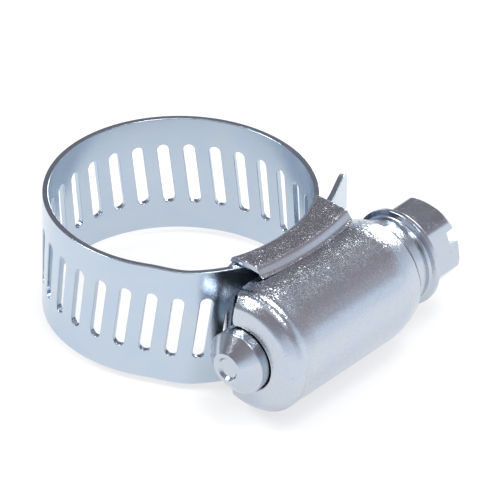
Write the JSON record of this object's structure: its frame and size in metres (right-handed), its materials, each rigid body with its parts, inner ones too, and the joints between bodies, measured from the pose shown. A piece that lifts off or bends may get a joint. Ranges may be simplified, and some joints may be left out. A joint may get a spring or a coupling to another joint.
{
  "type": "hose clamp",
  "caption": "Worm-drive hose clamp: a slotted steel band passes through a barrel housing, where a slotted hexagonal screw draws it tight.",
  "frame": {"origin": "middle of the round seat that grips the hose, at half the height of the band", "axes": "+Z along the hose; the housing and screw are on -Y; the screw runs along X with its head at +X"},
  "size_m": [0.0309, 0.0362, 0.0142],
  "materials": {
    "zinc_band": "bright zinc plate, satin, faintly blue",
    "zinc_housing": "bright zinc plate with fine sparkle",
    "zinc_saddle": "bright zinc plate with fine sparkle",
    "zinc_screw": "bright zinc plate, polished by turning"
  },
  "bodies": {
    "root": {"housing": "zinc_housing", "saddle": "zinc_saddle", "band_fixed_end": "zinc_band"},
    "screw": {"screw": "zinc_screw"},
    "band_link_01": {"band_link_01": "zinc_band"},
    "band_link_02": {"band_link_02": "zinc_band"},
    "band_link_03": {"band_link_03": "zinc_band"},
    "band_link_04": {"band_link_04": "zinc_band"},
    "band_link_05": {"band_link_05": "zinc_band"},
    "band_link_06": {"band_link_06": "zinc_band"},
    "band_link_07": {"band_link_07": "zinc_band"},
    "band_free_end": {"band_free_end": "zinc_band"}
  },
  "joints": [
    {"name": "screw_turn", "type": "hinge", "parent": "root", "child": "screw", "pos_m": [0, -0.01675, 0], "axis": [-1, 0, 0], "range_deg": [-180, 720]},
    {"name": "band_flex_01", "type": "hinge", "parent": "root", "child": "band_link_01", "pos_m": [0.01111, -0.00675, 0], "axis": [0, 0, 1], "range_deg": [-1.19, 4.6]},
    {"name": "band_flex_02", "type": "hinge", "parent": "band_link_01", "child": "band_link_02", "pos_m": [0.01298, 0.0007, 0], "axis": [0, 0, 1], "range_deg": [-0.76, 2.88]},
    {"name": "band_flex_03", "type": "hinge", "parent": "band_link_02", "child": "band_link_03", "pos_m": [0.01032, 0.00791, 0], "axis": [0, 0, 1], "range_deg": [-0.54, 2.02]},
    {"name": "band_flex_04", "type": "hinge", "parent": "band_link_03", "child": "band_link_04", "pos_m": [0.00405, 0.01235, 0], "axis": [0, 0, 1], "range_deg": [-0.46, 1.7]},
    {"name": "band_flex_05", "type": "hinge", "parent": "band_link_04", "child": "band_link_05", "pos_m": [-0.00363, 0.01248, 0], "axis": [0, 0, 1], "range_deg": [-0.46, 1.67]},
    {"name": "band_flex_06", "type": "hinge", "parent": "band_link_05", "child": "band_link_06", "pos_m": [-0.01005, 0.00825, 0], "axis": [0, 0, 1], "range_deg": [-0.53, 1.96]},
    {"name": "band_flex_07", "type": "hinge", "parent": "band_link_06", "child": "band_link_07", "pos_m": [-0.01315, 0.0012, 0], "axis": [0, 0, 1], "range_deg": [-0.73, 2.77]},
    {"name": "band_flex_08", "type": "hinge", "parent": "band_link_07", "child": "band_free_end", "pos_m": [-0.01215, -0.00644, 0], "axis": [0, 0, 1], "range_deg": [-1.14, 4.39]}
  ],
  "couplings": [
    {"joint": "band_flex_01", "follows": "screw_turn", "ratio": 0.0063195},
    {"joint": "band_flex_02", "follows": "screw_turn", "ratio": 0.0039265},
    {"joint": "band_flex_03", "follows": "screw_turn", "ratio": 0.0027432},
    {"joint": "band_flex_04", "follows": "screw_turn", "ratio": 0.0022901},
    {"joint": "band_flex_05", "follows": "screw_turn", "ratio": 0.002252},
    {"joint": "band_flex_06", "follows": "screw_turn", "ratio": 0.002654},
    {"joint": "band_flex_07", "follows": "screw_turn", "ratio": 0.0037825},
    {"joint": "band_flex_08", "follows": "screw_turn", "ratio": 0.0060336}
  ]
}
